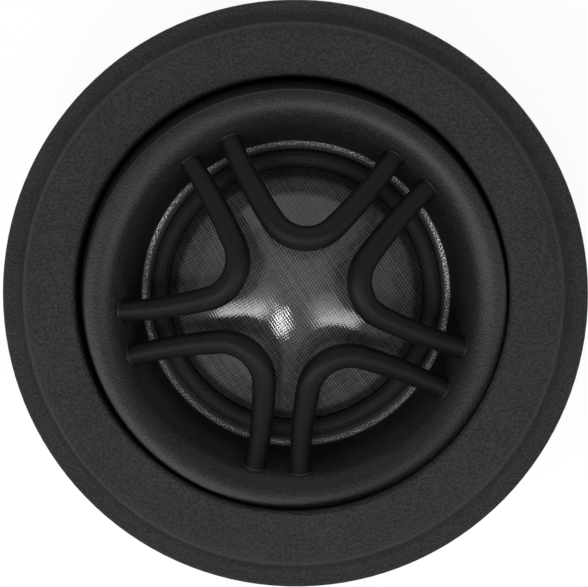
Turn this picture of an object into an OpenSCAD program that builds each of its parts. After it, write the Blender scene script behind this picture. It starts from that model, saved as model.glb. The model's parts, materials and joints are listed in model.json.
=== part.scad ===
// Car tweeter: a soft-dome unit that swivels and tilts in a flush-mount ring.
// +Z points out of the panel, and z = 0 is the plane where the ring sits on the panel.
// The aimed unit has its own frame: the pivot is its origin and the sound leaves along its z.

/* [Mounting ring] */
// Width of the flange outside the barrel
flange_w = 4.1; // [3.8:0.1:6]
// Height of the ring's face above the panel
face_h = 3.2; // [2.8:0.1:4]
// Thickness of the flange's thin outer lip
lip_t = 0.95; // [0.8:0.05:1.2]
// Width of the hollowed step between the face and the rim
step_w = 2.2; // [2.2:0.1:2.6]
// Rounding of the face's outer edge
edge_round = 1.0; // [0.5:0.1:1.2]
// Rounding of the mouth's edge
mouth_round = 0.5; // [0.3:0.1:1.2]
// Depth of the mouth's lip, from the face to its underside
mouth_lip = 2.1; // [1.6:0.1:2.4]
// Wall of the barrel
barrel_wall = 1.5; // [1.2:0.1:2]
// Width of the foam gasket under the flange
gasket_w = 1.7; // [1.2:0.1:1.9]
// Thickness of the foam gasket, which lies flush in its groove
gasket_t = 0.6; // [0.4:0.1:0.8]

/* [Aiming] */
// Tilt of the unit at rest
aim_tilt = 7.5; // [0:0.5:12]
// Direction that the unit leans to at rest, anticlockwise from +X
aim_azimuth = 303; // [0:1:359]
// Largest tilt from straight ahead
tilt_max = 15; // [12:1:18]
// Depth of the pivot below the ring's face
pivot_depth = 5.2; // [4.8:0.1:5.8]
// Gap between the ball and the mouth's lip, at the lip's underside
mouth_gap = 0.2; // [0.1:0.05:0.5]
// Gap between the ball and the swivel ring
ball_play = 0.35; // [0.3:0.05:0.6]
// Wall of the swivel ring
swivel_wall = 1.5; // [1.2:0.1:2.2]
// How far the swivel ring reaches below the pivot
swivel_below = 3; // [2.6:0.1:4]
// Gap between the swivel ring and the barrel
swivel_play = 0.15; // [0.1:0.05:0.3]
// Diameter of the tilt pins
pin_d = 2; // [1.6:0.1:2.4]
// Thickness of the felt washer over the swivel ring
felt_t = 0.5; // [0.3:0.1:0.8]
// Height of the wave washer under the swivel ring
wave_h = 0.8; // [0.6:0.1:1.2]
// Thickness of the wave washer's steel
wave_t = 0.25; // [0.2:0.05:0.35]

/* [Rear cap] */
// Wall of the cap's skirt
cap_wall = 1.4; // [1.2:0.1:1.8]
// Thickness of the cap's floor
cap_floor = 1.6; // [1.4:0.1:2.4]
// Room between the unit at full tilt and the cap's floor
cap_room = 1.6; // [1.4:0.1:3]
// Number of clamp bosses, and of cap screws
boss_count = 3; // [3:1:4]
// Diameter of a clamp boss
boss_d = 4.4; // [4:0.1:5]
// Diameter of a clamp boss's screw hole
clamp_hole_d = 2.5; // [2:0.1:2.8]
// Diameter of a cap screw
cap_screw_d = 2; // [1.6:0.1:2.4]
// Diameter of the hole through the cable grommet
cable_d = 3; // [2.4:0.1:3.4]

/* [Front bezel] */
// Height of the bezel's crest above the pivot
crest_h = 5.8; // [5.4:0.1:6.2]
// Rounding of the bezel's outer edge
crest_round = 1; // [0.8:0.1:1.2]
// Radius of the bezel's inward curve
horn_round = 3.2; // [2.8:0.1:3.5]
// Height of the straight edge round the throat
throat_edge = 0.25; // [0.15:0.05:0.4]
// Wall of the bezel's skirt at the pivot
skirt_wall = 3.4; // [3.2:0.1:4]
// Diameter of the screws that hold the rear shell to the bezel
shell_screw_d = 1.6; // [1.4:0.1:1.8]

/* [Guard loops] */
// Diameter of a loop's bar at its ends
bar_d = 2.1; // [1.8:0.1:2.3]
// Diameter of a loop's bar at its tip
tip_d = 2.5; // [2.1:0.1:2.7]
// Direction of the first loop's tip, anticlockwise from +X
loop_azimuth = 83.6; // [0:0.1:359.9]
// Distance of a loop's tip from the axis
tip_r = 6.5; // [6:0.1:7.5]
// Height of a loop's tip above the pivot
tip_h = 8.2; // [7.8:0.1:9]
// Distance of a loop's ends from the axis, where they enter the bezel
end_r = 17; // [16.6:0.1:17.3]
// Distance between the neighbouring ends of two loops
end_gap = 4.5; // [4:0.1:5]
// Angle between a loop's ends and its middle line
end_angle = 27.6; // [26:0.1:29]
// Angle between the arms and the middle line where the tight bend begins
bend_angle = 38; // [37:0.5:42]
// Depth of a loop's ends in the bezel
plug_depth = 1.4; // [1:0.1:1.8]

/* [Diaphragm] */
// Diameter of the dome at its edge
dome_d = 25.2; // [24:0.1:27]
// Rise of the dome
dome_rise = 5.8; // [5:0.1:6.2]
// Thickness of the coated fabric
fabric_t = 0.3; // [0.2:0.05:0.35]
// Width of the surround's half roll
roll_w = 1.8; // [1.6:0.1:2.2]
// Width of the surround's sloping band that shows inside the throat
band_w = 0.8; // [0.6:0.05:1]
// How far the dome's edge lies below the surround's seat
edge_drop = 0.33; // [0.2:0.01:0.5]
// Width of the surround's flat flange under the bezel
flange_seat = 2; // [1.6:0.1:2.4]
// Height of the surround's seat above the pivot
seat_h = 0.43; // [0.2:0.01:0.6]
// Thickness of the diaphragm ring
ring_t = 2.53; // [2.4:0.01:3]

/* [Motor] */
// Thickness of the voice coil's former
former_t = 0.15; // [0.1:0.05:0.2]
// Thickness of the voice coil's winding
winding_t = 0.4; // [0.3:0.05:0.5]
// Length of the voice coil's winding
winding_l = 2.8; // [2.4:0.1:3.2]
// Gap between the former and the top plate
inner_gap = 0.3; // [0.25:0.05:0.4]
// Gap between the winding and the yoke
outer_gap = 0.4; // [0.35:0.05:0.5]
// Thickness of the top plate
plate_t = 2.5; // [2:0.1:3]
// Diameter of the magnet
magnet_d = 23; // [20:0.1:23.6]
// Thickness of the magnet
magnet_t = 3.5; // [3.4:0.1:4.5]
// Wall of the yoke
yoke_wall = 2.6; // [2.2:0.1:3]
// Floor of the yoke
yoke_floor = 2.5; // [2:0.1:3]
// Diameter of the felt pad under the dome
pad_d = 21; // [16:0.5:22]
// Thickness of the felt pad under the dome
pad_t = 1.5; // [1:0.1:2]

/* [Rear shell and terminals] */
// Floor of the rear shell
shell_floor = 1.6; // [1.4:0.1:2.2]
// Length of the terminal board
board_l = 14; // [13:0.5:16]
// Width of the terminal board
board_w = 7; // [6:0.5:9]
// Thickness of the terminal board
board_t = 1.2; // [1:0.1:1.6]
// Reach of the terminal tabs from the middle of the board
tab_reach = 11; // [10:0.5:12]
// Width of the positive tab
positive_w = 4.8; // [4:0.1:5.2]
// Width of the negative tab
negative_w = 2.8; // [2.6:0.1:3.4]
// Thickness of the tabs
tab_t = 0.5; // [0.4:0.1:0.8]
// Diameter of the rivets that hold the tabs
rivet_d = 1.6; // [1.2:0.1:2]
// Diameter of an insulated coil lead
lead_d = 0.7; // [0.5:0.05:0.8]

/* [Hidden] */
$fn = 96;

// A cut runs this far past the face that it opens
past = 1;
// Clearance of a piece that is fixed in a hole or a seat
fixed_fit = 0.05;
// Running clearance of a tilt pin in the bezel
pin_fit = 0.06;
// Number of guard loops, each a node of its own
loop_count = 5;
// Number of screws that hold the rear shell
shell_screw_count = 4;

// The surround's band reaches this far under the bezel
band_tuck = 0.1;
// The diaphragm ring reaches this far outside the surround's flange
ring_lip = 0.6;
// Gap between the diaphragm ring and the bezel's skirt
ring_fit = 0.2;

// Radii, from the dome outwards
dome_r = dome_d / 2;
former_in = dome_r - former_t;
winding_r = dome_r + winding_t;
plate_r = former_in - inner_gap;
yoke_in = winding_r + outer_gap;
yoke_r = yoke_in + yoke_wall;
shell_in = yoke_r + 2 * fixed_fit;
roll_out = dome_r + roll_w;
throat_r = roll_out + band_w;
band_top = throat_r + band_tuck;
flange_r = throat_r + flange_seat;
ring_out = flange_r + ring_lip;
skirt_in = ring_out + ring_fit;
ball_r = skirt_in + skirt_wall;
mouth_r = sqrt(pow(ball_r, 2) - pow(pivot_depth - mouth_lip, 2)) + mouth_gap;
swivel_in = ball_r + ball_play;
swivel_out = swivel_in + swivel_wall;
bore_r = swivel_out + swivel_play;
barrel_r = bore_r + barrel_wall;
ring_r = barrel_r + flange_w;

// Heights in the unit's frame, from the crest down
clamp_h = seat_h + fabric_t;
throat_h = clamp_h + throat_edge;
edge_h = seat_h - edge_drop;
yoke_top = seat_h - ring_t;
plate_bottom = yoke_top - plate_t;
magnet_bottom = plate_bottom - magnet_t;
yoke_bottom = magnet_bottom - yoke_floor;
shell_rear = yoke_bottom - shell_floor;
board_rear = shell_rear - board_t;
tab_rear = board_rear - tab_t;
rivet_head = 0.4;
winding_mid = yoke_top - plate_t / 2;
former_below = 0.2;

// Heights in the panel's frame
pivot_z = face_h - pivot_depth;
lip_z = face_h - mouth_lip;
swivel_top = lip_z - felt_t;
swivel_bottom = pivot_z - swivel_below;
cap_top = swivel_bottom - wave_h;
shell_edge = sqrt(ball_r * ball_r - shell_rear * shell_rear);
swing_tab = (rivet_head - tab_rear) * cos(tilt_max) + tab_reach * sin(tilt_max);
swing_shell = -shell_rear * cos(tilt_max) + shell_edge * sin(tilt_max);
floor_z = pivot_z - max(swing_tab, swing_shell) - cap_room;
cap_rear = floor_z - cap_floor;

// The hollowed step of the ring
cove_r = face_h - edge_round - lip_t;
step_r = ring_r - step_w;
gasket_inset = 0.4;
gasket_in = barrel_r + gasket_inset;
rim_round = 0.25;

// The bezel's crest is tangent to the ball, and its horn wall is tangent to the inward curve
crest_r = sqrt(pow(ball_r - crest_round, 2) - pow(crest_h - crest_round, 2));
horn_z = crest_h - horn_round;
to_throat = [throat_r - crest_r, throat_h - horn_z];
horn_end = atan2(to_throat.y, to_throat.x) + 360 - acos(horn_round / norm(to_throat));
horn_end_r = crest_r + horn_round * cos(horn_end);
horn_end_h = horn_z + horn_round * sin(horn_end);
skirt_bottom = yoke_top;

// A loop lies in a slanted plane: a tight bend at its tip between two long arcs
wall_slope = (horn_end_h - throat_h) / (horn_end_r - throat_r);
end_h = end_r < horn_end_r ? throat_h + (end_r - throat_r) * wall_slope
    : horn_z + sqrt(horn_round * horn_round - pow(crest_r - end_r, 2));
loop_half = 180 / loop_count - asin(end_gap / 2 / end_r);
end_out = end_r * cos(loop_half) - tip_r;
slant = atan2(tip_h - end_h, end_out);
run = end_out / cos(slant);
half_w = end_r * sin(loop_half);
solve = (1 - sin(bend_angle)) * (cos(end_angle) - cos(bend_angle))
    - (sin(bend_angle) - sin(end_angle)) * cos(bend_angle);
tip_bend = (run * (cos(end_angle) - cos(bend_angle)) - half_w * (sin(bend_angle) - sin(end_angle))) / solve;
arm_bend = ((1 - sin(bend_angle)) * half_w - cos(bend_angle) * run) / solve;
arm_start = tip_bend * [1 - sin(bend_angle), cos(bend_angle)];
arm_centre = arm_start + arm_bend * [sin(bend_angle), -cos(bend_angle)];

// The dome is part of a ball
dome_ball = (dome_r * dome_r + dome_rise * dome_rise) / (2 * dome_rise);
dome_mid = edge_h + dome_rise - dome_ball;

// Tilt pins: the web is the skirt left behind a pin's hole
pin_web = 0.9;
pin_short = 0.3;
pin_r = pin_d / 2;
pin_inner = skirt_in + pin_web;
pin_azimuth = aim_azimuth + 90;

// Shell screws: the grip is the shell under a head, and the bite is the length in the bezel
screw_inset = 0.2;
screw_grip = 2.1;
screw_bite = 3;
screw_r = (skirt_in + ball_r) / 2 - screw_inset;
screw_seat = skirt_bottom - screw_grip;
screw_tip = skirt_bottom + screw_bite;
shell_head_r = 0.9 * shell_screw_d;
shell_head_h = 0.9;
head_play = 0.2;

// The cross slot of both kinds of screw, as a share of the head's width
slot_share = 0.62;
slot_w = 0.4;
slot_deep = 0.45;

// Clamp bosses of the rear cap
boss_inset = 0.7;
boss_room = 0.5;
boss_roof = 0.9;
cap_skirt_out = bore_r - 2 * fixed_fit;
cap_skirt_in = cap_skirt_out - cap_wall;
boss_at = cap_skirt_in - boss_d / 2 - boss_inset;
boss_inner = boss_at - boss_d / 2;
boss_top = pivot_z - sqrt(pow(ball_r + boss_room, 2) - boss_inner * boss_inner);

// Cap screws, whose bosses stand inside the cap's skirt
cap_screw_up = 3.2;
cap_screw_short = 0.5;
cap_screw_sink = 0.1;
cap_boss_in = 1.5;
cap_boss_d = 2.2 * cap_screw_d;
cap_head_d = 1.9 * cap_screw_d;
cap_screw_z = floor_z + cap_screw_up;
cap_screw_head = (cap_head_d - cap_screw_d) / 2;
cap_screw_l = barrel_r - cap_skirt_in + cap_boss_in - cap_screw_short;

// Cable grommet
grommet_wall = 1.1;
grommet_rim = 1;
grommet_lip = 0.8;
grommet_sink = 0.1;
grommet_play = 0.2;
grommet_inset = 1.2;
grommet_neck = cable_d / 2 + grommet_wall;
grommet_flange = grommet_neck + grommet_rim;
grommet_at = boss_inner - grommet_flange - grommet_inset;

// Coil leads, each in a groove of the shell and the diaphragm ring, then on its tab
lead_room = 0.15;
lead_roof = 0.6;
lead_short = 0.2;
lead_clear = 0.3;
lead_at = shell_in + lead_d;
lead_groove = lead_d / 2 + lead_room;

// Rivets and the soldering eye of a tab
rivet_at = 0.32 * board_l;
rivet_roof = 0.4;
rivet_head_d = 1.6 * rivet_d;
eye_d = 1.4;
eye_inset = 2;

abs_black = [0.13, 0.13, 0.14];
steel = [0.62, 0.63, 0.65];
brass = [0.78, 0.63, 0.3];

// Places the unit's own frame at the pivot, leaning to its rest direction
module aimed() {
    translate([0, 0, pivot_z])
        rotate(a = aim_tilt, v = [cos(pin_azimuth), sin(pin_azimuth), 0])
            children();
}

// Points along an arc
function arc(centre, r, from, to, steps) = [
    for (i = [0 : steps])
        let (a = from + (to - from) * i / steps)
            centre + r * [cos(a), sin(a)]
];

// A flat ring between two radii and two heights
module band(r_in, r_out, z_low, z_high) {
    rotate_extrude()
        translate([r_in, z_low])
            square([r_out - r_in, z_high - z_low]);
}

module mounting_ring() {
    color(abs_black)
        difference() {
            rotate_extrude()
                difference() {
                    union() {
                        translate([mouth_r, lip_z])
                            square([step_r - edge_round - mouth_r, face_h - lip_z]);
                        translate([bore_r, 0])
                            square([step_r - bore_r, face_h - edge_round]);
                        translate([step_r - edge_round, face_h - edge_round])
                            circle(edge_round);
                        translate([step_r - past, 0])
                            square([cove_r + past, face_h - edge_round]);
                        translate([step_r, 0])
                            square([step_w - rim_round, lip_t]);
                        translate([step_r, 0])
                            square([step_w, lip_t - rim_round]);
                        translate([ring_r - rim_round, lip_t - rim_round])
                            circle(rim_round);
                        translate([bore_r, floor_z])
                            square([barrel_wall, past - floor_z]);
                    }
                    translate([step_r + cove_r, face_h - edge_round])
                        circle(cove_r);
                    difference() {
                        translate([mouth_r - past, face_h - mouth_round])
                            square([mouth_round + past, mouth_round + past]);
                        translate([mouth_r + mouth_round, face_h - mouth_round])
                            circle(mouth_round);
                        translate([mouth_r + mouth_round, face_h - mouth_round])
                            square(mouth_round + past);
                    }
                    translate([gasket_in, -past])
                        square([gasket_w, gasket_t + past]);
                }
            for (i = [0 : boss_count - 1])
                cap_screw_place(i)
                    cap_screw_hole();
        }
}

// Cap screws go in radially, half a step round from the clamp bosses
module cap_screw_place(i) {
    rotate((i + 0.5) * 360 / boss_count - 90)
        translate([barrel_r, 0, cap_screw_z])
            rotate([0, -90, 0])
                children();
}

// A cross slot centred on a head's face
module cross_slot(head) {
    for (turn = [0, 90])
        rotate(turn)
            cube([slot_share * head, slot_w, 2 * slot_deep], center = true);
}

module cap_screw_hole() {
    translate([0, 0, -past])
        cylinder(d = cap_screw_d + 2 * fixed_fit, h = cap_screw_l + past + fixed_fit);
    translate([0, 0, -past])
        cylinder(d = cap_head_d + 2 * fixed_fit, h = past + cap_screw_sink);
    translate([0, 0, cap_screw_sink])
        cylinder(
            d1 = cap_head_d + 2 * fixed_fit,
            d2 = cap_screw_d + 2 * fixed_fit,
            h = cap_screw_head
        );
}

module cap_screws() {
    color(steel)
        for (i = [0 : boss_count - 1])
            cap_screw_place(i)
                difference() {
                    union() {
                        translate([0, 0, cap_screw_sink])
                            cylinder(d1 = cap_head_d, d2 = cap_screw_d, h = cap_screw_head);
                        translate([0, 0, cap_screw_sink])
                            cylinder(d = cap_screw_d, h = cap_screw_l - cap_screw_sink);
                    }
                    translate([0, 0, cap_screw_sink])
                        cross_slot(cap_head_d);
                }
}

module panel_gasket() {
    color([0.2, 0.2, 0.2])
        band(gasket_in + fixed_fit, gasket_in + gasket_w - fixed_fit, 0, gasket_t);
}

module friction_washer() {
    color([0.25, 0.25, 0.25])
        band(swivel_in, bore_r - 2 * fixed_fit, swivel_top + fixed_fit, lip_z);
}

// A thin steel ring whose height follows three waves round its circle
module wave_washer() {
    steps = 72;
    waves = 3;
    inner = cap_skirt_in + 2 * fixed_fit;
    outer = cap_skirt_out;
    swing = (wave_h - wave_t) / 2 - fixed_fit;
    middle = (swivel_bottom + cap_top) / 2;
    points = [
        for (i = [0 : steps - 1])
            let (a = i * 360 / steps, z = middle + swing * sin(waves * a))
                for (corner = [[inner, -1], [outer, -1], [outer, 1], [inner, 1]])
                    [corner[0] * cos(a), corner[0] * sin(a), z + corner[1] * wave_t / 2]
    ];
    faces = [
        for (i = [0 : steps - 1], k = [0 : 3])
            let (j = (i + 1) % steps, m = (k + 1) % 4)
                each [[4 * i + k, 4 * i + m, 4 * j + m], [4 * i + k, 4 * j + m, 4 * j + k]]
    ];
    color(steel)
        polyhedron(points, faces);
}

module clamp_boss_place(i) {
    rotate(i * 360 / boss_count - 90)
        translate([boss_at, 0, 0])
            children();
}

module rear_cap() {
    cap_round = 0.6;
    cap_r = barrel_r - 2 * fixed_fit;
    color(abs_black)
        difference() {
            union() {
                band(cap_skirt_in, cap_skirt_out, floor_z - cap_floor / 2, cap_top);
                translate([0, 0, cap_rear + cap_round])
                    cylinder(r = cap_r, h = cap_floor - cap_round);
                translate([0, 0, cap_rear])
                    cylinder(r1 = cap_r - cap_round, r2 = cap_r, h = cap_round);
                for (i = [0 : boss_count - 1]) {
                    clamp_boss_place(i)
                        translate([0, 0, floor_z - cap_floor / 2])
                            cylinder(d = boss_d, h = boss_top - floor_z + cap_floor / 2);
                    cap_screw_place(i)
                        translate([0, 0, barrel_r - cap_skirt_out + cap_wall / 2])
                            cylinder(d = cap_boss_d, h = cap_wall / 2 + cap_boss_in);
                }
            }
            for (i = [0 : boss_count - 1]) {
                clamp_boss_place(i)
                    translate([0, 0, cap_rear - past])
                        cylinder(d = clamp_hole_d, h = boss_top - boss_roof - cap_rear + past);
                cap_screw_place(i)
                    cap_screw_hole();
            }
            grommet_place()
                translate([0, 0, cap_rear - past])
                    cylinder(r = grommet_neck, h = cap_floor + 2 * past);
            grommet_place()
                translate([0, 0, cap_rear - past])
                    cylinder(r = grommet_flange + grommet_play, h = grommet_lip + past);
        }
}

module grommet_place() {
    translate([0, -grommet_at, 0])
        children();
}

module cable_grommet() {
    color([0.08, 0.08, 0.08])
        grommet_place()
            difference() {
                union() {
                    translate([0, 0, cap_rear + grommet_sink])
                        cylinder(r = grommet_flange, h = grommet_lip - grommet_sink);
                    translate([0, 0, cap_rear + grommet_sink])
                        cylinder(r = grommet_neck - fixed_fit, h = cap_floor);
                    translate([0, 0, floor_z])
                        cylinder(r = grommet_flange, h = grommet_lip);
                }
                translate([0, 0, cap_rear - past])
                    cylinder(d = cable_d, h = cap_floor + grommet_lip + 2 * past);
            }
}

// The two pin holes lie on one line through the pivot
module pin_places() {
    translate([0, 0, pivot_z])
        for (side = [0, 180])
            rotate(pin_azimuth + side)
                rotate([0, 90, 0])
                    children();
}

module swivel_ring() {
    color([0.3, 0.3, 0.31])
        difference() {
            band(swivel_in, swivel_out, swivel_bottom, swivel_top);
            pin_places()
                cylinder(r = pin_r + fixed_fit, h = bore_r + past);
        }
}

module tilt_pins() {
    color(steel)
        pin_places()
            translate([0, 0, pin_inner + fixed_fit])
                cylinder(r = pin_r, h = swivel_out - pin_short - pin_inner - fixed_fit);
}

// The bezel's section: up the horn from the throat, over the crest and down the ball's side
module bezel_section() {
    ball_top = atan2(crest_h - crest_round, crest_r);
    polygon(concat(
        [[throat_r, clamp_h], [throat_r, throat_h]],
        arc([crest_r, horn_z], horn_round, horn_end, 90, 12),
        arc([crest_r, crest_h - crest_round], crest_round, 90, ball_top, 10),
        arc([0, 0], ball_r, ball_top, asin(skirt_bottom / ball_r), 8),
        [[skirt_in, skirt_bottom], [skirt_in, clamp_h]]
    ));
}

module loop_place(i) {
    rotate(loop_azimuth + i * 360 / loop_count)
        translate([tip_r, 0, tip_h])
            rotate([0, slant, 0])
                children();
}

// The two ends of a loop, where z runs into the bezel
module loop_ends() {
    for (side = [0, 1])
        mirror([0, side, 0])
            translate(arm_centre + arm_bend * [-sin(end_angle), cos(end_angle)])
                rotate(end_angle)
                    rotate([0, 90, 0])
                        children();
}

// A loop is a round bar that is thickest at its tip and plain where it enters the bezel
module guard_loop(i) {
    sides = 14;
    plug = plug_depth * [cos(end_angle), sin(end_angle)];
    arm = arc(arm_centre, arm_bend, 90 + end_angle, 90 + bend_angle, 6);
    tip = arc([tip_bend, 0], tip_bend, 90 + bend_angle, 270 - bend_angle, 14);
    half = concat([arm[0] + plug], arm);
    other = [for (k = [len(half) - 1 : -1 : 0]) [half[k].x, -half[k].y]];
    path = concat(half, [for (k = [1 : len(tip) - 2]) tip[k]], other);
    rings = len(path);
    points = [
        for (k = [0 : rings - 1])
            let (
                along = path[min(k + 1, rings - 1)] - path[max(k - 1, 0)],
                across = [along.y, -along.x] / norm(along),
                share = min(abs(path[k].y) / half_w, 1),
                r = bar_d / 2 + (tip_d - bar_d) / 2 * (1 + cos(180 * share)) / 2
            )
                for (m = [0 : sides - 1])
                    let (a = 360 * m / sides)
                        [
                            path[k].x + r * cos(a) * across.x,
                            path[k].y + r * cos(a) * across.y,
                            r * sin(a)
                        ]
    ];
    skin = [
        for (k = [0 : rings - 2], m = [0 : sides - 1])
            let (n = (m + 1) % sides, low = k * sides, high = low + sides)
                each [[low + m, high + m, high + n], [low + m, high + n, low + n]]
    ];
    caps = [
        [for (m = [0 : sides - 1]) m],
        [for (m = [sides - 1 : -1 : 0]) (rings - 1) * sides + m]
    ];
    color(abs_black)
        aimed()
            loop_place(i)
                polyhedron(points, concat(skin, caps));
}

module shell_screw_places() {
    for (i = [0 : shell_screw_count - 1])
        rotate(pin_azimuth + (i + 0.5) * 360 / shell_screw_count)
            translate([screw_r, 0, 0])
                children();
}

module front_bezel() {
    color(abs_black)
        aimed()
            difference() {
                rotate_extrude()
                    bezel_section();
                for (i = [0 : loop_count - 1])
                    loop_place(i)
                        loop_ends()
                            translate([0, 0, -bar_d])
                                cylinder(d = bar_d + 2 * fixed_fit, h = bar_d + plug_depth + fixed_fit);
                for (side = [0, 180])
                    rotate(pin_azimuth + side)
                        rotate([0, 90, 0])
                            translate([0, 0, pin_inner])
                                cylinder(r = pin_r + pin_fit, h = ball_r);
                shell_screw_places()
                    translate([0, 0, skirt_bottom - past])
                        cylinder(d = shell_screw_d + 2 * fixed_fit, h = screw_bite + fixed_fit + past);
            }
}

module rear_shell() {
    color([0.16, 0.16, 0.17])
        aimed()
            difference() {
                rotate_extrude()
                    difference() {
                        intersection() {
                            circle(ball_r);
                            translate([0, shell_rear])
                                square([ball_r, skirt_bottom - shell_rear]);
                        }
                        translate([0, yoke_bottom])
                            square([shell_in, skirt_bottom - yoke_bottom + past]);
                    }
                shell_screw_places() {
                    translate([0, 0, -ball_r])
                        cylinder(d = shell_screw_d + 2 * fixed_fit, h = 2 * ball_r);
                    translate([0, 0, -ball_r])
                        cylinder(r = shell_head_r + head_play, h = ball_r + screw_seat);
                }
                lead_places()
                    translate([lead_at, 0, shell_rear - past])
                        cylinder(r = lead_groove, h = skirt_bottom - shell_rear + 2 * past);
                rivet_places()
                    translate([0, 0, shell_rear - past])
                        cylinder(d = rivet_d + 2 * fixed_fit, h = past + shell_floor - rivet_roof);
            }
}

module shell_screws() {
    color(steel)
        aimed()
            shell_screw_places()
                difference() {
                    union() {
                        translate([0, 0, screw_seat])
                            cylinder(d = shell_screw_d, h = screw_tip - screw_seat);
                        translate([0, 0, screw_seat - shell_head_h])
                            cylinder(r = shell_head_r, h = shell_head_h);
                    }
                    translate([0, 0, screw_seat - shell_head_h])
                        cross_slot(2 * shell_head_r);
                }
}

// The coil leads leave the unit on both sides, square to the tilt pins
module lead_places() {
    for (side = [0, 180])
        rotate(aim_azimuth + side)
            children();
}

module rivet_places() {
    rotate(aim_azimuth)
        for (side = [-1, 1])
            translate([side * rivet_at, 0, 0])
                children();
}

module diaphragm_ring() {
    color([0.22, 0.2, 0.18])
        aimed()
            difference() {
                band(band_top + fixed_fit, ring_out, yoke_top, seat_h);
                lead_places()
                    translate([lead_at, 0, yoke_top - past])
                        cylinder(r = lead_groove, h = ring_t - lead_roof + past);
            }
}

// The surround's section: a cuff on the former, the half roll, the sloping band and the flange
module surround() {
    cuff_in = dome_r + fixed_fit;
    cuff_h = 0.5;
    roll_r = (roll_out - cuff_in) / 2;
    roll_at = [cuff_in + roll_r, edge_h];
    color([0.24, 0.24, 0.25])
        aimed()
            rotate_extrude()
                polygon(concat(
                    [[cuff_in, edge_h - cuff_h]],
                    arc(roll_at, roll_r, 180, 0, 16),
                    [[band_top, clamp_h], [flange_r, clamp_h], [flange_r, seat_h], [band_top, seat_h]],
                    [[roll_out, edge_h - fabric_t], [roll_out - fabric_t, edge_h - fabric_t]],
                    arc(roll_at, roll_r - fabric_t, 0, 180, 12),
                    [[cuff_in + fabric_t, edge_h - cuff_h]]
                ));
}

module magnet_yoke() {
    color(steel)
        aimed()
            difference() {
                translate([0, 0, yoke_bottom])
                    cylinder(r = yoke_r, h = yoke_top - yoke_bottom);
                translate([0, 0, magnet_bottom])
                    cylinder(r = yoke_in, h = yoke_top - magnet_bottom + past);
            }
}

module magnet() {
    color([0.75, 0.75, 0.77])
        aimed()
            translate([0, 0, magnet_bottom])
                cylinder(d = magnet_d, h = magnet_t);
}

module top_plate() {
    color(steel)
        aimed()
            translate([0, 0, plate_bottom])
                cylinder(r = plate_r, h = plate_t);
}

module damping_pad() {
    color([0.5, 0.49, 0.46])
        aimed()
            translate([0, 0, yoke_top])
                cylinder(d = pad_d, h = pad_t);
}

module terminal_board() {
    color([0.45, 0.3, 0.16])
        aimed()
            difference() {
                rotate(aim_azimuth)
                    translate([-board_l / 2, -board_w / 2, board_rear])
                        cube([board_l, board_w, board_t]);
                rivet_places()
                    translate([0, 0, board_rear - past])
                        cylinder(d = rivet_d + 2 * fixed_fit, h = board_t + 2 * past);
            }
}

// A flat tab with a rivet hole, and a hole for a soldered wire near its tip
module tab(width, turn) {
    root = rivet_at - rivet_d;
    color(brass)
        aimed()
            rotate(aim_azimuth + turn)
                difference() {
                    translate([root, -width / 2, tab_rear])
                        cube([tab_reach - root, width, tab_t]);
                    translate([rivet_at, 0, tab_rear - past])
                        cylinder(d = rivet_d + 2 * fixed_fit, h = tab_t + 2 * past);
                    translate([tab_reach - eye_inset, 0, tab_rear - past])
                        cylinder(d = eye_d, h = tab_t + 2 * past);
                }
}

module positive_terminal() {
    tab(positive_w, 0);
}

module negative_terminal() {
    tab(negative_w, 180);
}

module terminal_rivets() {
    color(brass)
        aimed()
            rivet_places() {
                translate([0, 0, tab_rear])
                    cylinder(d = rivet_d, h = tab_t + board_t + shell_floor - rivet_roof - 2 * fixed_fit);
                translate([0, 0, tab_rear - rivet_head])
                    cylinder(d = rivet_head_d, h = rivet_head);
            }
}

// A round lead that runs down its groove, turns in under the shell and meets its tab
module coil_leads() {
    under = board_rear + lead_d / 2 + fixed_fit;
    turn_r = shell_rear - under - fixed_fit;
    start = seat_h - lead_roof - lead_short;
    lead_end = board_l / 2 + lead_clear;
    straight = start - under - turn_r;
    color([0.55, 0.12, 0.1])
        aimed()
            lead_places() {
                translate([lead_at, 0, under + turn_r])
                    cylinder(d = lead_d, h = straight);
                translate([lead_at - turn_r, 0, under + turn_r])
                    rotate([90, 0, 0])
                        rotate(-90)
                            rotate_extrude(angle = 90)
                                translate([turn_r, 0])
                                    circle(d = lead_d);
                translate([lead_end, 0, under])
                    rotate([0, 90, 0])
                        cylinder(d = lead_d, h = lead_at - turn_r - lead_end);
            }
}

module dome() {
    color([0.35, 0.35, 0.36])
        aimed()
            rotate_extrude()
                intersection() {
                    translate([0, dome_mid])
                        difference() {
                            circle(dome_ball);
                            circle(dome_ball - fabric_t);
                        }
                    translate([0, edge_h])
                        square([dome_r + past, dome_rise + past]);
                }
}

module coil_former() {
    color([0.72, 0.5, 0.2])
        aimed()
            band(former_in, dome_r, winding_mid - winding_l / 2 - former_below, edge_h);
}

module coil_winding() {
    color([0.7, 0.38, 0.2])
        aimed()
            band(dome_r, winding_r, winding_mid - winding_l / 2, winding_mid + winding_l / 2);
}

mounting_ring();
panel_gasket();
friction_washer();
wave_washer();
rear_cap();
cap_screws();
cable_grommet();
swivel_ring();
tilt_pins();
front_bezel();
guard_loop(0);  // guard_loop_1
guard_loop(1);  // guard_loop_2
guard_loop(2);  // guard_loop_3
guard_loop(3);  // guard_loop_4
guard_loop(4);  // guard_loop_5
rear_shell();
shell_screws();
diaphragm_ring();
surround();
magnet_yoke();
magnet();
top_plate();
damping_pad();
terminal_board();
positive_terminal();
negative_terminal();
terminal_rivets();
coil_leads();
dome();
coil_former();
coil_winding();
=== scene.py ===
import json
import math

import bmesh
import bpy
from mathutils import Matrix, Vector


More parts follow.
